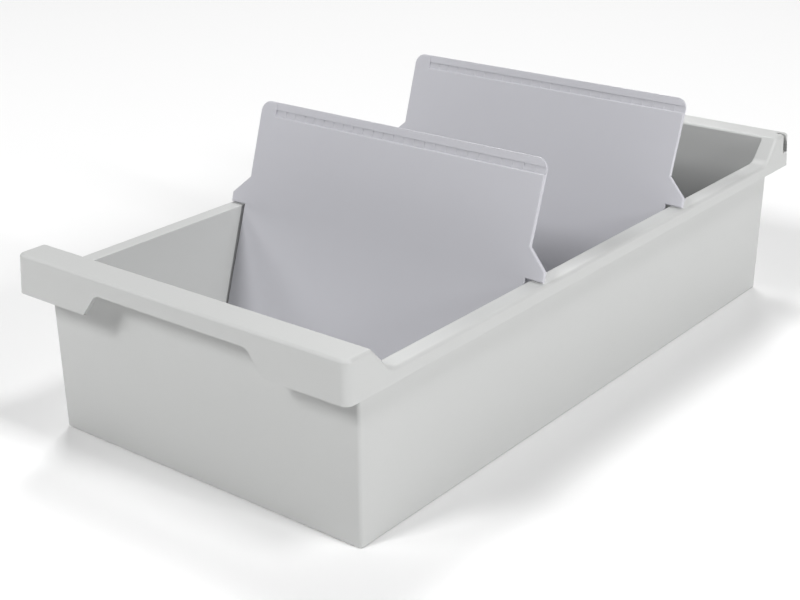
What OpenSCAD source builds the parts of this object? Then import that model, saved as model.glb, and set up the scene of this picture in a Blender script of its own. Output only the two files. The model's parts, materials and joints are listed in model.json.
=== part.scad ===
// Open card trough with two leaning support plates.
// Millimetres. X is the width, Y runs to the back, Z is up, and the origin is the middle of the base.

/* [Tray] */
// Outside width of the tray at its base
base_w = 222; // [120:1:320]
// Outside length of the tray at its base
base_l = 441; // [300:1:600]
// Height of the side rims above the table
rim_h = 95.5; // [70:0.5:130]
// Thickness of the tray's walls
wall = 4; // [2.5:0.1:6]
// Thickness of the tray's floor
floor_t = 3; // [2:0.1:6]
// Outward slope of the tray's walls, in degrees
wall_draft = 0.7; // [0:0.1:2]
// Radius of the tray's upright outside corners
corner_r = 2; // [1:0.5:8]
// Radius of the tray's upright inside corners
inner_r = 1.5; // [1:0.5:8]

/* [Rim] */
// How far the rim's skirt stands out from the side walls
side_reach = 7.5; // [5:0.5:14]
// How far the rim's skirt stands out from the end walls
end_reach = 17; // [10:0.5:30]
// How far the skirt hangs below the side rims
skirt_drop = 7.6; // [5:0.1:20]
// Thickness of the skirt
skirt_t = 3; // [2:0.1:4]
// Thickness of the web that joins the skirt to the wall
web_t = 3; // [2:0.1:4]
// Inward slope of the skirt towards its top, in degrees
skirt_draft = 2.6; // [0:0.1:5]
// Radius of the skirt's upright corners at the front
skirt_r = 4.5; // [3.5:0.5:8]
// Radius of the skirt's upright corners at the rear
rear_skirt_r = 2.2; // [2:0.1:8]
// Rounding of the skirt's top edge
edge_r = 2; // [1:0.5:3]

/* [End bars] */
// How far the end bars rise above the side rims
bar_rise = 15.5; // [8:0.5:25]
// Slope of the ramps that lead down to the side rims, in degrees
ramp_angle = 48; // [35:1:70]
// Depth of the bar's flat top that lies over the end wall
bar_overlap = 1; // [0.5:0.1:3]
// Rounding at the top of the ramps
ramp_top_r = 2.2; // [1:0.1:6]
// Hollow rounding at the foot of the ramps
ramp_foot_r = 10; // [4:1:15]

/* [Grip] */
// Width of the grip cut-out along its top
grip_w = 110; // [60:1:120]
// How far each end of the cut-out widens towards its bottom
grip_splay = 10; // [0:0.1:20]
// Height of the cut-out above the skirt's lower edge
grip_rise = 13.3; // [8:0.1:16]
// Rounding of the cut-out's upper corners
grip_r = 5; // [1:0.5:6]

/* [Rear bar slots] */
// Width of each slot at its floor
slot_w = 6; // [4:0.5:8]
// Width of each slot at its mouth
slot_mouth = 2.5; // [1:0.5:4]
// Height of the slots' wide part
slot_seat = 5; // [4:0.5:8]
// How far the slots' floor lies below the bar's top
slot_drop = 13; // [8:0.5:18]
// How deep the slots go into the bar's ends
slot_depth = 6; // [4:0.5:7]
// Thickness of the skirt left behind each slot
slot_land = 1.5; // [1.5:0.1:6]

/* [Support plates] */
// Thickness of the plates
plate_t = 2.6; // [2:0.1:4]
// Height of the plates along their slope
plate_len = 164; // [140:1:220]
// Lean of the plates, in degrees
lean = 18; // [5:1:25]
// Gap between the lower part of a plate and the tray's side at its floor
side_gap = 1; // [0.5:0.1:3]
// Gap under the plates' feet and ears
seat_gap = 0.3; // [0.1:0.1:1]
// How much narrower than the floor the plates' top is, on each side
top_inset = 1.4; // [0.5:0.1:6]
// How much narrower than the floor the plates' necks are, on each side
neck_inset = 1.9; // [0.5:0.1:6]
// How far the neck lies above the ears' underside
neck_rise = 18; // [10:0.5:30]
// How far the ears reach out over the side rims
ear_reach = 9.3; // [5:0.1:10]
// Height of the ears' tips
ear_tip = 6.1; // [3:0.1:9]
// Radius of the plates' upper corners
plate_r = 7; // [2:0.5:15]
// Radius of the plates' lower corners
foot_r = 4; // [1:0.5:8]
// Distance from the front wall to the front plate's foot
front_foot = 116; // [20:1:130]
// Distance from the front plate's foot to the rear plate's foot
plate_pitch = 158; // [20:1:160]

/* [Index strip] */
// Distance from the plates' top edge down to the strip's ledge
strip_down = 8.8; // [7:0.1:20]
// Height of the strip
strip_h = 4; // [2:0.1:6]
// Depth of the strip below the plate's face
strip_depth = 0.9; // [0.3:0.1:1.2]
// How far the lip above the strip lies below the plate's face
lip_back = 0.4; // [0.1:0.1:0.8]
// Distance from the plate's left edge to the strip's closed end
strip_margin = 12.5; // [8:0.5:30]
// Number of fields that the strip's ticks part
strip_fields = 26; // [5:1:31]
// Width of a tick
tick_w = 0.8; // [0.4:0.1:1.5]
// Height of a tick above the strip's floor
tick_h = 0.3; // [0.2:0.1:0.6]

/* [Hidden] */
tray_grey = "#d0d2d1";
plate_grey = "#bebec3";
corner_steps = 5;
arc_steps = 6;
past = 2; // how far a cut runs past what it cuts
least_r = 0.2; // smallest radius that a rounded corner narrows to

skirt_low = rim_h - skirt_drop;
hollow_r = max(skirt_r - skirt_t, 1);
bar_h = rim_h + bar_rise;

// Half sizes of the drafted shells at height z
function wall_x(z) = base_w / 2 + z * tan(wall_draft);
function wall_y(z) = base_l / 2 + z * tan(wall_draft);
function cavity_x(z) = wall_x(z) - wall;
function cavity_y(z) = wall_y(z) - wall;
function skirt_x(z) = wall_x(skirt_low) + side_reach - (z - skirt_low) * tan(skirt_draft);
function skirt_y(z) = wall_y(skirt_low) + end_reach - (z - skirt_low) * tan(skirt_draft);

// Ramps: where they meet the bar's top and the side rim
ramp_top_y = cavity_y(bar_h) + bar_overlap;
ramp_foot_y = ramp_top_y - bar_rise / tan(ramp_angle);

// Plates: the lowest edge is the back of the foot, which clears the floor by seat_gap
foot_z = floor_t + seat_gap + plate_t * sin(lean);
ear_s = (rim_h - floor_t) / cos(lean);
low_half = cavity_x(floor_t) - side_gap;
neck_half = cavity_x(floor_t) - neck_inset;
top_half = cavity_x(floor_t) - top_inset;
ear_half = cavity_x(rim_h) + ear_reach;
front_foot_y = front_foot - cavity_y(floor_t);
rear_foot_y = front_foot_y + plate_pitch;

// Index strip, measured on the plate's face
ledge_s = plate_len - strip_down;
strip_left = strip_margin - top_half;
field_w = (top_half - strip_left) / strip_fields;

// Points of a rounded rectangle at height z, with its own radius at the rear corners
function ring(half_x, half_y, z, front_r, rear_r) = [
    for (quarter = [0:3], step = [0:corner_steps])
        let (side_x = quarter == 0 || quarter == 3 ? 1 : -1,
             side_y = quarter < 2 ? 1 : -1,
             r = side_y > 0 ? rear_r : front_r,
             turn = 90 * (quarter + step / corner_steps))
        [side_x * (half_x - r) + r * cos(turn), side_y * (half_y - r) + r * sin(turn), z]
];

// Points of the arc that rounds corner b between a and c
function rounded(a, b, c, r) =
    let (u = (a - b) / norm(a - b),
         v = (c - b) / norm(c - b),
         half = acos(u * v) / 2,
         centre = b + (u + v) / norm(u + v) * r / sin(half),
         from = b + u * r / tan(half) - centre,
         to = b + v * r / tan(half) - centre,
         start = atan2(from[1], from[0]),
         raw = atan2(to[1], to[0]) - start,
         sweep = raw > 180 ? raw - 360 : raw < -180 ? raw + 360 : raw)
    [for (step = [0:arc_steps]) centre + r * [cos(start + sweep * step / arc_steps),
                                              sin(start + sweep * step / arc_steps)]];

// Solid through rings that follow one another
module loft(rings) {
    count = len(rings[0]);
    last = len(rings) - 1;
    sides = [
        for (level = [0:last - 1], i = [0:count - 1])
            let (next = (i + 1) % count, low = level * count, high = low + count)
            for (face = [[low + i, high + i, high + next], [low + i, high + next, low + next]]) face
    ];
    bottom = [for (i = [0:count - 1]) i];
    top = [for (i = [count - 1:-1:0]) last * count + i];
    polyhedron(points = [for (points = rings) each points], faces = concat([bottom], sides, [top]));
}

// The tray's walls as a solid block, from z = low to z = high
module wall_block(low, high) {
    loft([for (z = [low, high]) ring(wall_x(z), wall_y(z), z, corner_r, corner_r)]);
}

// The space inside the walls
module cavity() {
    loft([for (z = [floor_t, bar_h + past]) ring(cavity_x(z), cavity_y(z), z, inner_r, inner_r)]);
}

// The skirt as a solid block with a rounded top edge at z = high
module skirt_block(high) {
    loft(concat(
        [ring(skirt_x(skirt_low), skirt_y(skirt_low), skirt_low, skirt_r, rear_skirt_r)],
        [for (step = [0:arc_steps])
            let (turn = 90 * step / arc_steps,
                 z = high - edge_r * (1 - sin(turn)),
                 inset = edge_r * (1 - cos(turn)))
            ring(skirt_x(z) - inset, skirt_y(z) - inset, z,
                 max(skirt_r - inset, least_r), max(rear_skirt_r - inset, least_r))]));
}

// The space inside the skirt, open at the bottom
module skirt_space(high) {
    loft([for (z = [skirt_low - past, high - web_t])
        ring(skirt_x(z) - skirt_t, skirt_y(z) - skirt_t, z, hollow_r, hollow_r)]);
}

// Everything below the ramp at the rear end, moved out towards the end by shift
module ramp_side(shift) {
    far = skirt_y(skirt_low) + past;
    low = skirt_low - past;
    foot = [ramp_foot_y + shift, rim_h];
    top = [ramp_top_y + shift, bar_h];
    hollow = rounded([0, rim_h], foot, top, ramp_foot_r);
    crest = rounded(foot, top, [far, bar_h], ramp_top_r);
    rotate([90, 0, 90])
        linear_extrude(2 * (skirt_x(skirt_low) + past), center = true)
            polygon(concat([[hollow[0][0], low]], hollow, crest, [[far, bar_h], [far, low]]));
}

module both_ends() {
    children();
    mirror([0, 1, 0]) children();
}

module both_sides() {
    children();
    mirror([1, 0, 0]) children();
}

// The hollow between the skirt and the walls
module rim_hollow() {
    difference() {
        union() {
            skirt_space(rim_h);
            intersection() {
                skirt_space(bar_h);
                both_ends() ramp_side(web_t / sin(ramp_angle));
            }
        }
        wall_block(skirt_low - 2 * past, bar_h + past);
    }
}

// The cut-out in the front skirt that the fingers reach through
module grip_cut() {
    half = grip_w / 2;
    top = skirt_low + grip_rise;
    low = skirt_low - past;
    low_half_w = half + grip_splay * (top - low) / grip_rise;
    corner = [[half + grip_splay, skirt_low], [half, top], [-half, top]];
    right = rounded(corner[0], corner[1], corner[2], grip_r);
    left = [for (i = [len(right) - 1:-1:0]) [-right[i][0], right[i][1]]];
    front = -skirt_y(skirt_low) - past;
    translate([0, front, 0])
        rotate([90, 0, 0])
            translate([0, 0, -end_reach + past])
                linear_extrude(end_reach)
                    polygon(concat([[low_half_w, low]], right, left, [[-low_half_w, low]]));
}

// The slot at the right end of the rear bar, wider at its floor than at its mouth
module bar_slot() {
    back = skirt_y(bar_h) - slot_land;
    front = back - slot_w;
    mouth = front + slot_mouth;
    floor_z = bar_h - slot_drop;
    above = bar_h + past;
    translate([skirt_x(bar_h) - slot_depth, 0, 0])
        rotate([90, 0, 90])
            linear_extrude(slot_depth + side_reach)
                polygon([[front, floor_z], [back, floor_z], [back, floor_z + slot_seat],
                         [mouth, bar_h], [mouth, above], [front, above]]);
}

module tray() {
    color(tray_grey)
        difference() {
            union() {
                wall_block(0, rim_h - web_t / 2);
                skirt_block(rim_h);
                intersection() {
                    skirt_block(bar_h);
                    both_ends() ramp_side(0);
                }
            }
            rim_hollow();
            cavity();
            grip_cut();
            both_sides() bar_slot();
        }
}

// Outline of a plate: across, and up along its slope
function plate_outline() =
    let (half = [
        for (p = rounded([0, 0], [low_half, 0], [low_half, ear_s], foot_r)) p,
        [low_half, ear_s],
        [ear_half, ear_s],
        [ear_half, ear_s + ear_tip],
        [neck_half, ear_s + neck_rise],
        for (p = rounded([neck_half, ear_s + neck_rise], [top_half, plate_len], [0, plate_len], plate_r)) p
    ])
    concat(half, [for (i = [len(half) - 1:-1:0]) [-half[i][0], half[i][1]]]);

// A plate standing upright on its foot, with its face towards the front
module upright_plate() {
    difference() {
        translate([0, plate_t, 0])
            rotate([90, 0, 0])
                linear_extrude(plate_t)
                    polygon(plate_outline());
        translate([strip_left, -past, ledge_s])
            cube([2 * top_half, past + strip_depth, strip_h]);
        translate([strip_left, -past, ledge_s + strip_h])
            cube([2 * top_half, past + lip_back, strip_down]);
    }
    for (i = [1:strip_fields - 1])
        translate([strip_left + i * field_w - tick_w / 2, strip_depth - tick_h, ledge_s])
            cube([tick_w, tick_h, strip_h]);
}

module leaning_plate(foot_y) {
    color(plate_grey)
        translate([0, foot_y, foot_z])
            rotate([-lean, 0, 0])
                upright_plate();
}

module front_support_plate() {
    leaning_plate(front_foot_y);
}

module rear_support_plate() {
    leaning_plate(rear_foot_y);
}

tray();
front_support_plate();
rear_support_plate();
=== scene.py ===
import json
from math import atan2, copysign, cos, pi, radians, sin, tan

import bmesh
import bpy
from mathutils import Matrix, Vector

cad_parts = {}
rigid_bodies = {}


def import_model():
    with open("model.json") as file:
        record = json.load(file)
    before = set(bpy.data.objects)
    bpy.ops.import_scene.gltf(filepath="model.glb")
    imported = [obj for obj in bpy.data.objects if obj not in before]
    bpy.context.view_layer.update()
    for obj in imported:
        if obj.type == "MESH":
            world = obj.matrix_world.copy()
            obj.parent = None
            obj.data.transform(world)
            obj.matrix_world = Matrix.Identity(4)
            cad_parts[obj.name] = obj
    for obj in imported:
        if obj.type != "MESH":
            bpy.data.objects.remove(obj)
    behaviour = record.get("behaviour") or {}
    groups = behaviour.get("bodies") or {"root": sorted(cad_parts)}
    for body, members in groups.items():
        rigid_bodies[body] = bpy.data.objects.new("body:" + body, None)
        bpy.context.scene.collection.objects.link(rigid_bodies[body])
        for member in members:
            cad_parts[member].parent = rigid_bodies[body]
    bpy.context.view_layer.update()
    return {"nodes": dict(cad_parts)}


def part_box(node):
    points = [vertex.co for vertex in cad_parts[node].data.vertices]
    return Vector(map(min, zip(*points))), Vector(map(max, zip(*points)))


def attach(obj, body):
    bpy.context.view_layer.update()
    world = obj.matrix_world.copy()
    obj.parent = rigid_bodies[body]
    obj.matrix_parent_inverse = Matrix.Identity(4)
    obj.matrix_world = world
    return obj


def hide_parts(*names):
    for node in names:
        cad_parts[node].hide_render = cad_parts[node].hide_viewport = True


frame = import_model()
mm = 0.001  # shapes are worked out in millimetres and scaled to metres at the end
scene = bpy.context.scene
print("frame loaded:", ", ".join(frame["nodes"]))


# small helpers shared by the pieces

near = 0.01  # mm; points this close count as being in one place
hairWidth = 0.08  # mm; narrower faces, where cuts and roundings meet, are merged away
past = 2  # mm that a cutter runs past the surface that it cuts


def vertsOf(faces):
    return list(dict.fromkeys(v for f in faces for v in f.verts))


def edgesOf(faces):
    return list(dict.fromkeys(e for f in faces for e in f.edges))


def onlyOf(kind, geom):
    return [part for part in geom if isinstance(part, kind)]


def roundOff(bm, parts, size, steps, affect="EDGES"):
    bmesh.ops.bevel(bm, geom=parts, offset=size, offset_type="OFFSET", affect=affect, segments=steps,
                    profile=0.5, material=-1, clamp_overlap=False)
    bm.normal_update()


def sliceFaces(bm, faces, point, normal):
    bmesh.ops.bisect_plane(bm, geom=vertsOf(faces) + edgesOf(faces) + faces, dist=near / 10,
                           plane_co=point, plane_no=normal)
    bm.normal_update()


def pushFaces(bm, faces, place):
    # extrudes faces without leaving them behind, and puts each new point where place says
    pushed = bmesh.ops.extrude_face_region(bm, geom=faces)["geom"]
    bmesh.ops.delete(bm, geom=[f for f in faces if f.is_valid], context="FACES")
    for v in onlyOf(bmesh.types.BMVert, pushed):
        v.co = place(v.co)
    return onlyOf(bmesh.types.BMFace, pushed)


def prism(outline, plane, depth, corners=()):
    # an outline pushed out to a solid; plane turns (across, up) into a point,
    # and each of the corners gives places in the outline, a size and steps
    bm = bmesh.new()
    points = [bm.verts.new(plane(*point)) for point in outline]
    bm.faces.new(points)
    for places, size, steps in corners:
        roundOff(bm, [points[i] for i in places], size, steps, "VERTICES")
    pushed = bmesh.ops.extrude_face_region(bm, geom=bm.faces[:])["geom"]
    bmesh.ops.translate(bm, vec=depth, verts=onlyOf(bmesh.types.BMVert, pushed))
    bmesh.ops.recalc_face_normals(bm, faces=bm.faces[:])
    return bm


def makeObject(name, bm):
    mesh = bpy.data.meshes.new(name)
    bmesh.ops.scale(bm, vec=(mm, mm, mm), verts=bm.verts[:])
    bm.to_mesh(mesh)
    bm.free()
    piece = bpy.data.objects.new(name, mesh)
    scene.collection.objects.link(piece)
    return piece


def cutAway(piece, cutters):
    # boolean cuts, applied at once so that no cutter stays in the scene
    for cutter in cutters:
        cut = piece.modifiers.new("cut", "BOOLEAN")
        cut.operation = "DIFFERENCE"
        cut.solver = "EXACT"
        cut.object = cutter
    bm = bmesh.new()
    bm.from_object(piece, bpy.context.evaluated_depsgraph_get())
    bmesh.ops.remove_doubles(bm, verts=bm.verts[:], dist=hairWidth / 2 * mm)  # what the cuts leave doubled
    piece.modifiers.clear()
    bm.to_mesh(piece.data)
    bm.free()
    for cutter in cutters:
        bpy.data.meshes.remove(cutter.data)


def softenEdges(piece, size, steps=3, sharpAngle=40):
    # the tool's small radius on every edge that is still sharp
    piece.data.shade_smooth()
    soft = piece.modifiers.new("soft edges", "BEVEL")
    soft.width = size * mm
    soft.segments = steps
    soft.limit_method = "ANGLE"
    soft.angle_limit = radians(sharpAngle)
    soft.profile = 0.5
    soft.material = -1
    soft.use_clamp_overlap = True
    level = piece.modifiers.new("even shading", "WEIGHTED_NORMAL")
    level.keep_sharp = True


# camera at the photograph's angle

shot = {"azimuth": 38.26, "elevation": 22.43, "roll": -0.43, "aim": (4.4, -52.7, 52.8), "distance": 904.2,
        "lens": 66.9, "sensor": 36}

turn = (Matrix.Rotation(radians(shot["azimuth"]), 4, "Z")
        @ Matrix.Rotation(radians(90 - shot["elevation"]), 4, "X")
        @ Matrix.Rotation(radians(shot["roll"]), 4, "Z"))
camera = bpy.data.objects.new("camera", bpy.data.cameras.new("camera"))
camera.data.lens = shot["lens"]
camera.data.sensor_width = shot["sensor"]
camera.data.sensor_fit = "HORIZONTAL"
camera.matrix_world = (Matrix.Translation(Vector(shot["aim"]) * mm) @ turn
                       @ Matrix.Translation((0, 0, shot["distance"] * mm)))
scene.collection.objects.link(camera)
scene.camera = camera
print("camera set")


# materials

def linear(hexColour):
    # sRGB hex to linear
    parts = [int(hexColour[i:i + 2], 16) / 255 for i in (1, 3, 5)]
    return tuple(c / 12.92 if c <= 0.04045 else ((c + 0.055) / 1.055) ** 2.4 for c in parts) + (1,)


def addNode(tree, kind, inputs=None, **settings):
    node = tree.nodes.new(kind)
    for name, value in settings.items():
        setattr(node, name, value)
    for name, value in (inputs or {}).items():
        if isinstance(value, bpy.types.NodeSocket):
            tree.links.new(value, node.inputs[name])
        else:
            node.inputs[name].default_value = value
    return node


# sizes in mm; the real grain is near 0.1 mm, and is drawn coarser so that it shows at all
polystyrene = {"ior": 1.55, "cloudSize": 70, "grainSize": 0.7, "grainDepth": 0.012, "grainStrength": 0.35,
               "grainRange": (0.3, 0.7), "glossSpread": 0.05}


def mouldedPolystyrene(name, colour, shade, roughness):
    # injection-moulded polystyrene from a finely eroded tool: an even satin grey with a soft broad highlight,
    # a faint cloudiness where the melt cooled, and a grain that only breaks up the gloss
    material = bpy.data.materials.new(name)
    material.use_nodes = True
    tree = material.node_tree
    tree.nodes.clear()
    place = addNode(tree, "ShaderNodeTexCoord").outputs["Object"]
    clouds = addNode(tree, "ShaderNodeTexNoise", {
        "Vector": place, "Scale": 1 / (polystyrene["cloudSize"] * mm), "Detail": 3.0, "Roughness": 0.5})
    tint = addNode(tree, "ShaderNodeMix", {"Factor": clouds.outputs["Fac"]}, data_type="RGBA")
    tint.inputs["A"].default_value = linear(colour)
    tint.inputs["B"].default_value = linear(shade)
    grit = addNode(tree, "ShaderNodeTexNoise", {
        "Vector": place, "Scale": 1 / (polystyrene["grainSize"] * mm), "Detail": 2.0, "Roughness": 0.6})
    relief = addNode(tree, "ShaderNodeBump", {
        "Height": grit.outputs["Fac"], "Strength": polystyrene["grainStrength"],
        "Distance": polystyrene["grainDepth"] * mm})
    lowest, highest = polystyrene["grainRange"]
    gloss = addNode(tree, "ShaderNodeMapRange", {
        "Value": grit.outputs["Fac"], "From Min": lowest, "From Max": highest,
        "To Min": roughness - polystyrene["glossSpread"], "To Max": roughness + polystyrene["glossSpread"]})
    shader = addNode(tree, "ShaderNodeBsdfPrincipled", {
        "Base Color": tint.outputs["Result"], "Roughness": gloss.outputs["Result"],
        "Normal": relief.outputs["Normal"], "IOR": polystyrene["ior"]})
    addNode(tree, "ShaderNodeOutputMaterial", {"Surface": shader.outputs["BSDF"]})
    return material


trayPlastic = mouldedPolystyrene("moulded polystyrene, warm grey", "#c0c1c0", "#bdbebd", 0.5)
platePlastic = mouldedPolystyrene("moulded polystyrene, cool grey", "#c1c1c7", "#bebec4", 0.42)
print("materials made")


# tray: one moulding of floor, walls and the hollow rim with its raised end bars, in mm and degrees
# edgeRound stays under rearCorner and crestRound, and floorFillet under innerCorner, or the roundings fold

trayShape = {"baseWidth": 222, "baseLength": 441, "wall": 4, "floor": 3, "wallDraft": 0.7, "wallCorner": 2,
             "innerCorner": 1.5, "innerEdge": 0.5, "floorFillet": 1.2, "baseEdge": 0.6, "softEdge": 0.45,
             "rimHeight": 95.5, "skirtDrop": 7.6, "skirt": 3, "web": 3, "skirtDraft": 2.6, "edgeRound": 2,
             "frontCorner": 4.5, "rearCorner": 2.2, "hollowCorner": 1.5,
             "rampAngle": 48, "barOverlap": 1, "crestRound": 2.2, "footRound": 10,
             "gripWidth": 110, "gripSplay": 10, "gripRise": 13.3, "gripCorner": 5,
             "slotWidth": 6, "slotMouth": 2.5, "slotSeat": 5, "slotDrop": 13, "slotDepth": 6, "slotLand": 1.5}

trayHigh = Vector(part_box("tray")[1]) / mm
floorZ = trayShape["floor"]
rimZ = trayShape["rimHeight"]
barZ = trayHigh.z
skirtZ = rimZ - trayShape["skirtDrop"]
ceilingZ = rimZ - trayShape["web"]
bandGap = 1.2  # room that is left below the rim's rounding
cutterDepth = 12  # goes through the skirt, and stays short of the wall behind it
firstInset = 0.5  # only makes a new loop, which is then put in its place


def square(size):
    return Vector((size, size))


def wallHalf(z):
    spread = z * tan(radians(trayShape["wallDraft"]))
    return Vector((trayShape["baseWidth"], trayShape["baseLength"])) / 2 + square(spread)


def cavityHalf(z):
    return wallHalf(z) - square(trayShape["wall"])


def skirtHalf(z):
    return trayHigh.xy - square((z - skirtZ) * tan(radians(trayShape["skirtDraft"])))


def skirtCorner(y):
    return trayShape["rearCorner"] if y > 0 else trayShape["frontCorner"]


def isTop(face):
    return face.normal.z > 0.5


def isTopEdge(edge):
    # between a top face and an upright one
    return any(isTop(f) for f in edge.link_faces) and any(abs(f.normal.z) < 0.2 for f in edge.link_faces)


# the ramps from the rims up to the bars, and how far their roundings run along the outline
rampTop = cavityHalf(barZ).y + trayShape["barOverlap"]
rampFoot = rampTop - (barZ - rimZ) / tan(radians(trayShape["rampAngle"]))
crestRun = trayShape["crestRound"] * tan(radians(trayShape["rampAngle"] / 2))
footRun = trayShape["footRound"] * tan(radians(trayShape["rampAngle"] / 2))


def rimBlock():
    # the rim and its bars as a solid block, with round corners and a round outer top edge
    half = [(skirtHalf(skirtZ).y, skirtZ), (skirtHalf(barZ).y, barZ), (rampTop, barZ), (rampFoot, rimZ)]
    outline = [(-y, z) for y, z in half] + half[::-1]
    bm = prism(outline, lambda y, z: (-1, y, z), (2, 0, 0), [((2, 5), crestRun, 6), ((3, 4), footRun, 6)])
    for v in bm.verts:
        v.co.x = copysign(skirtHalf(v.co.z).x, v.co.x)  # the sides lean in towards the top

    # a lower band, and upright strips above it, so that the rounding has square faces to run along
    bandZ = rimZ - trayShape["edgeRound"] - bandGap
    sliceFaces(bm, bm.faces[:], (0, 0, bandZ), (0, 0, 1))
    bends = {round(v.co.y, 4) for v in bm.verts if v.co.z > bandZ + 1 and abs(v.co.y) < wallHalf(barZ).y}
    for y in sorted(bends):
        sides = [f for f in bm.faces if abs(f.normal.x) > 0.9 and f.calc_center_median().z > bandZ]
        sliceFaces(bm, sides, (0, y, 0), (0, 1, 0))

    upright = [e for e in bm.edges if abs(e.verts[0].co.z - e.verts[1].co.z) > 1
               and all(abs(v.co.y) > wallHalf(barZ).y for v in e.verts)]
    for radius in (trayShape["frontCorner"], trayShape["rearCorner"]):
        corner = [e for e in upright if e.is_valid and skirtCorner(e.verts[0].co.y) == radius]
        roundOff(bm, corner, radius, steps=6)
    roundOff(bm, [e for e in bm.edges if isTopEdge(e)], trayShape["edgeRound"], steps=5)
    return bm


def openTrough(bm):
    # splits the top along the walls' inner faces, takes the middle out and draws the walls down to the floor
    draft = tan(radians(trayShape["wallDraft"]))
    inner, topInner, floorHalf = cavityHalf(0), cavityHalf(barZ), cavityHalf(floorZ)
    crestStart = rampTop - crestRun * 0.7  # faces with their middle before this belong to the rims and ramps

    def rimFaces(width):
        middles = [(f, f.calc_center_bounds()) for f in bm.faces if isTop(f)]
        return [f for f, middle in middles if abs(middle.x) < width and abs(middle.y) < crestStart]

    for side in (-1, 1):
        sliceFaces(bm, rimFaces(trayHigh.x), (side * inner.x, 0, 0), (side, 0, -draft))
    for side in (-1, 1):
        sliceFaces(bm, rimFaces(inner.x), (0, side * inner.y, 0), (0, side, -draft))
    middle = [f for f in rimFaces(inner.x) if all(abs(v.co.y) < topInner.y + near for v in f.verts)]
    bmesh.ops.delete(bm, geom=middle, context="FACES")

    drawn = bmesh.ops.extrude_edge_only(bm, edges=[e for e in bm.edges if e.is_boundary])["geom"]
    for v in onlyOf(bmesh.types.BMVert, drawn):
        wallsHere = cavityHalf(v.co.z)
        for axis in (0, 1):
            if abs(abs(v.co[axis]) - wallsHere[axis]) < near:
                v.co[axis] = copysign(floorHalf[axis], v.co[axis])
        v.co.z = floorZ
    bmesh.ops.contextual_create(bm, geom=onlyOf(bmesh.types.BMEdge, drawn))
    bmesh.ops.recalc_face_normals(bm, faces=bm.faces[:])

    # rounded corners, floor and mouth inside
    corners = [e for e in bm.edges if abs(e.verts[0].co.z - e.verts[1].co.z) > rimZ / 2
               and all(abs(v.co.x) > floorHalf.x - near for v in e.verts)
               and all(abs(v.co.y) > floorHalf.y - near for v in e.verts)]
    roundOff(bm, corners, trayShape["innerCorner"], steps=5)
    floorEdges = [e for e in bm.edges if all(abs(v.co.z - floorZ) < near for v in e.verts)]
    roundOff(bm, floorEdges, trayShape["floorFillet"], steps=4)
    mouth = [e for e in bm.edges if isTopEdge(e) and e.calc_length() > near
             and all(v.co.z > rimZ - 1 for v in e.verts)
             and all(abs(v.co.x) < topInner.x + 1 and abs(v.co.y) < topInner.y + 1 for v in e.verts)]
    roundOff(bm, mouth, trayShape["innerEdge"], steps=4)


def onLoop(point, old, new, z):
    # takes a point of one rounded rectangle to its place round another; a loop is (half size, corner radius)
    centre = old[0] - square(old[1])
    half, radius = new
    around = atan2(abs(point.y) - centre.y, abs(point.x) - centre.x)
    return (copysign(half.x - radius + radius * cos(around), point.x),
            copysign(half.y - radius + radius * sin(around), point.y), z)


def hollowRim(bm):
    # underside: the skirt's lip, the hollow behind it, then the walls' outside down to the base
    lip = square(trayShape["skirt"])
    lipLoop = (skirtHalf(skirtZ) - lip, trayShape["hollowCorner"])
    hollowLoop = (skirtHalf(ceilingZ) - lip, trayShape["hollowCorner"])
    wallLoop = (wallHalf(ceilingZ), trayShape["wallCorner"])
    baseLoop = (wallHalf(0), trayShape["wallCorner"])
    under = [f for f in bm.faces if f.normal.z < -0.9 and abs(f.calc_center_median().z - skirtZ) < near]
    bmesh.ops.inset_region(bm, faces=under, thickness=firstInset, use_even_offset=True, use_boundary=True)
    for v in vertsOf(under):
        v.co = onLoop(v.co, (skirtHalf(skirtZ), skirtCorner(v.co.y)), lipLoop, skirtZ)
    ceiling = pushFaces(bm, under, lambda point: onLoop(point, lipLoop, hollowLoop, ceilingZ))
    ring = bmesh.ops.inset_region(bm, faces=ceiling, thickness=firstInset, use_even_offset=True)["faces"]
    for v in vertsOf(ceiling):
        v.co = onLoop(v.co, hollowLoop, wallLoop, ceilingZ)
    base = pushFaces(bm, ceiling, lambda point: onLoop(point, wallLoop, baseLoop, 0))
    bmesh.ops.recalc_face_normals(bm, faces=bm.faces[:])
    roundOff(bm, edgesOf(base), trayShape["baseEdge"], steps=3)
    endRing = [f for f in ring if abs(f.calc_center_median().y) > wallHalf(ceilingZ).y + 1]
    pushFaces(bm, endRing, lambda point: point + Vector((0, 0, barZ - rimZ)))  # up into the bars
    bmesh.ops.recalc_face_normals(bm, faces=bm.faces[:])


def gripCutter():
    # the cut-out in the front bar, wider below
    top = skirtZ + trayShape["gripRise"]
    low = skirtZ - past
    half = trayShape["gripWidth"] / 2
    lowHalf = half + trayShape["gripSplay"] * (top - low) / trayShape["gripRise"]
    bend = atan2(trayShape["gripSplay"], trayShape["gripRise"])
    cornerRun = trayShape["gripCorner"] * tan((pi / 2 - bend) / 2)
    grip = prism([(-lowHalf, low), (-half, top), (half, top), (lowHalf, low)],
                 lambda x, z: (x, -trayHigh.y - past, z), (0, cutterDepth, 0), [((1, 2), cornerRun, 6)])
    return makeObject("grip cutter", grip)


def slotCutter(side):
    # the slot in one end of the rear bar, narrower at its mouth
    back = skirtHalf(barZ).y - trayShape["slotLand"]
    front = back - trayShape["slotWidth"]
    mouth = front + trayShape["slotMouth"]
    low = barZ - trayShape["slotDrop"]
    start = side * (skirtHalf(barZ).x - trayShape["slotDepth"])
    slot = prism([(front, low), (back, low), (back, low + trayShape["slotSeat"]), (mouth, barZ),
                  (mouth, barZ + past), (front, barZ + past)],
                 lambda y, z: (start, y, z), (side * cutterDepth, 0, 0))
    return makeObject("slot cutter", slot)


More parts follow.
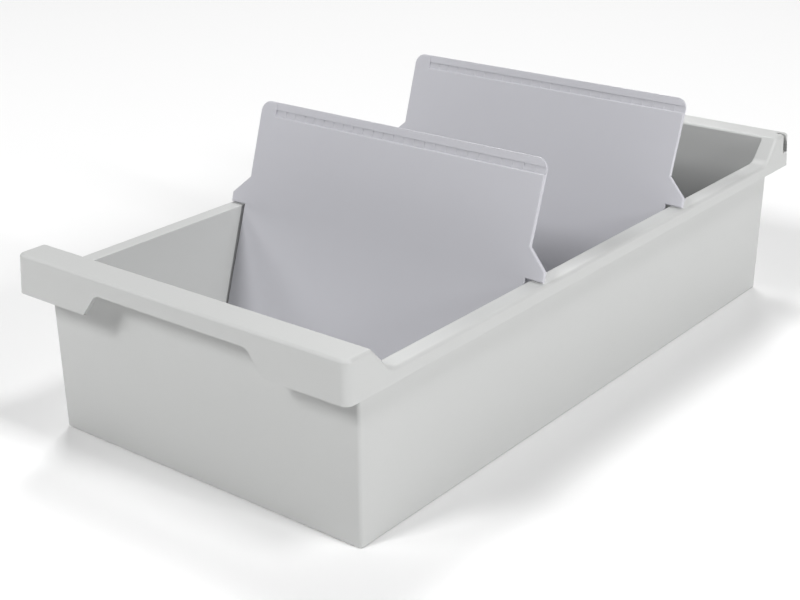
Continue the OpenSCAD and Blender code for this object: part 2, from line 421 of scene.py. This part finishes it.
def makeTray():
    bm = rimBlock()
    openTrough(bm)
    hollowRim(bm)
    bmesh.ops.remove_doubles(bm, verts=bm.verts[:], dist=hairWidth)
    openEdges = sum(1 for e in bm.edges if not e.is_manifold)
    print("tray body:", len(bm.faces), "faces,", openEdges, "open edges")
    tray = makeObject("tray_body", bm)
    cutAway(tray, [gripCutter(), slotCutter(-1), slotCutter(1)])
    softenEdges(tray, trayShape["softEdge"])
    tray.data.materials.append(trayPlastic)
    return tray


tray = makeTray()
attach(tray, "tray")
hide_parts("tray")
print("tray made:", len(tray.data.polygons), "faces")


# support plates: flat mouldings with ears that hang on the rims and an index strip along the top

plateShape = {"thickness": 2.6, "length": 164, "lean": 18, "sideGap": 1, "topInset": 1.4, "neckInset": 1.9,
              "neckRise": 18, "earTip": 6.1, "topCorner": 7, "footCorner": 4, "edgeRound": 1,
              "softEdge": 0.15, "stripDown": 8.8, "stripHeight": 4, "stripDepth": 0.9, "stripMargin": 12.5,
              "lipBack": 0.4, "ledgeRound": 0.8, "fields": 26, "tickWidth": 0.8, "tickHeight": 0.3}

lean = radians(plateShape["lean"])
troughHalf = cavityHalf(floorZ).x
plateTop = troughHalf - plateShape["topInset"]


def plateBlank(earHalf):
    # the plate before it leans: its width along X, its thickness along Y and its length up Z
    ear = (rimZ - floorZ) / cos(lean)
    foot = troughHalf - plateShape["sideGap"]
    neck = troughHalf - plateShape["neckInset"]
    half = [(foot, 0), (foot, ear), (earHalf, ear), (earHalf, ear + plateShape["earTip"]),
            (neck, ear + plateShape["neckRise"]), (plateTop, plateShape["length"])]
    outline = half + [(-x, z) for x, z in half[::-1]]
    bm = prism(outline, lambda x, z: (x, 0, z), (0, plateShape["thickness"], 0),
               [((0, -1), plateShape["footCorner"], 6), ((5, 6), plateShape["topCorner"], 8)])
    bm.normal_update()
    rim = [e for e in bm.edges if {round(abs(f.normal.y)) for f in e.link_faces} == {0, 1}]
    roundOff(bm, rim, plateShape["edgeRound"], steps=4)
    return bm


def stripCutters():
    # a shallow channel over a rounded ledge, open at its right end, and fields that leave plain ticks in it
    ledge = plateShape["length"] - plateShape["stripDown"]
    channelTop = ledge + plateShape["stripHeight"]
    left = plateShape["stripMargin"] - plateTop
    outside, above = trayHigh.x + past, plateShape["length"] + past  # beside the plate and over it
    tickFace = plateShape["stripDepth"] - plateShape["tickHeight"]
    arcSteps = 5
    arc = [(tickFace * (1 - cos(a)), ledge - plateShape["ledgeRound"] * (1 - sin(a)))
           for a in (i * pi / 2 / arcSteps for i in range(arcSteps + 1))]
    outline = [(-past, arc[0][1]), *arc, (tickFace, channelTop), (plateShape["lipBack"], channelTop),
               (plateShape["lipBack"], above), (-past, above)]
    channel = prism(outline, lambda y, z: (left, y, z), (outside - left, 0, 0))
    cutters = [makeObject("channel cutter", channel)]
    fields, halfTick = plateShape["fields"], plateShape["tickWidth"] / 2
    pitch = (plateTop - left) / fields
    for i in range(fields):
        start = left + i * pitch + (halfTick if i else 0)
        end = left + (i + 1) * pitch - halfTick if i + 1 < fields else outside
        field = prism([(start, ledge), (end, ledge), (end, channelTop), (start, channelTop)],
                      lambda x, z: (x, -past / 2, z), (0, plateShape["stripDepth"] + past / 2, 0))
        cutters.append(makeObject("field cutter", field))
    return cutters


def makePlate(node):
    low, high = (Vector(corner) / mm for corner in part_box(node))
    plate = makeObject(node.replace("support_plate", "plate"), plateBlank(high.x))
    cutAway(plate, stripCutters())
    foot = Vector((0, low.y, low.z + plateShape["thickness"] * sin(lean)))
    plate.data.transform(Matrix.Translation(foot * mm) @ Matrix.Rotation(-lean, 4, "X"))
    softenEdges(plate, plateShape["softEdge"])
    plate.data.materials.append(platePlastic)
    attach(plate, node)
    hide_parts(node)
    return plate


for node in ("front_support_plate", "rear_support_plate"):
    plate = makePlate(node)
    print("plate made:", plate.name, len(plate.data.polygons), "faces")


# floor and light

studio = {"floorHalf": 4000, "floorDrop": 0.2, "floorColour": "#f0f0f0", "floorRoughness": 0.9,
          "lampDistance": 4500, "aimHeight": 60, "skyStrength": 0.01}

floorMesh = bmesh.new()
bmesh.ops.create_grid(floorMesh, x_segments=1, y_segments=1, size=studio["floorHalf"])
bmesh.ops.translate(floorMesh, vec=(0, 0, -studio["floorDrop"]), verts=floorMesh.verts[:])
studioFloor = makeObject("studio_floor", floorMesh)
floorPaint = bpy.data.materials.new("white studio paint")
floorPaint.use_nodes = True
paint = floorPaint.node_tree.nodes["Principled BSDF"]
paint.inputs["Base Color"].default_value = linear(studio["floorColour"])
paint.inputs["Roughness"].default_value = studio["floorRoughness"]
studioFloor.data.materials.append(floorPaint)

# soft boxes round the object: azimuth from straight in front, turning to the right, and elevation, in degrees;
# sizes in mm
lamps = {
    "front key": {"azimuth": -16, "elevation": 41, "size": 1000, "watts": 99},
    "front left": {"azimuth": -40, "elevation": 28, "size": 1000, "watts": 29},
    "right key": {"azimuth": 91, "elevation": 23, "size": 800, "watts": 117},
    "right top": {"azimuth": 92, "elevation": 66, "size": 1000, "watts": 58},
    "rear left": {"azimuth": -150, "elevation": 29, "size": 1000, "watts": 31},
    "left top": {"azimuth": -135, "elevation": 60, "size": 1000, "watts": 60},
}
for name, lamp in lamps.items():
    around, above = radians(lamp["azimuth"]), radians(lamp["elevation"])
    towards = Vector((sin(around) * cos(above), -cos(around) * cos(above), sin(above)))
    light = bpy.data.lights.new(name, "AREA")
    light.size = lamp["size"] * mm
    light.energy = lamp["watts"]
    holder = bpy.data.objects.new(name, light)
    holder.location = (Vector((0, 0, studio["aimHeight"])) + towards * studio["lampDistance"]) * mm
    holder.rotation_euler = towards.to_track_quat("Z", "Y").to_euler()
    scene.collection.objects.link(holder)

world = bpy.data.worlds.new("studio")
scene.world = world
world.use_nodes = True
sky = world.node_tree.nodes["Background"]
sky.inputs["Color"].default_value = (1, 1, 1, 1)
sky.inputs["Strength"].default_value = studio["skyStrength"]
scene.view_settings.view_transform = "Standard"
print("floor and light set")
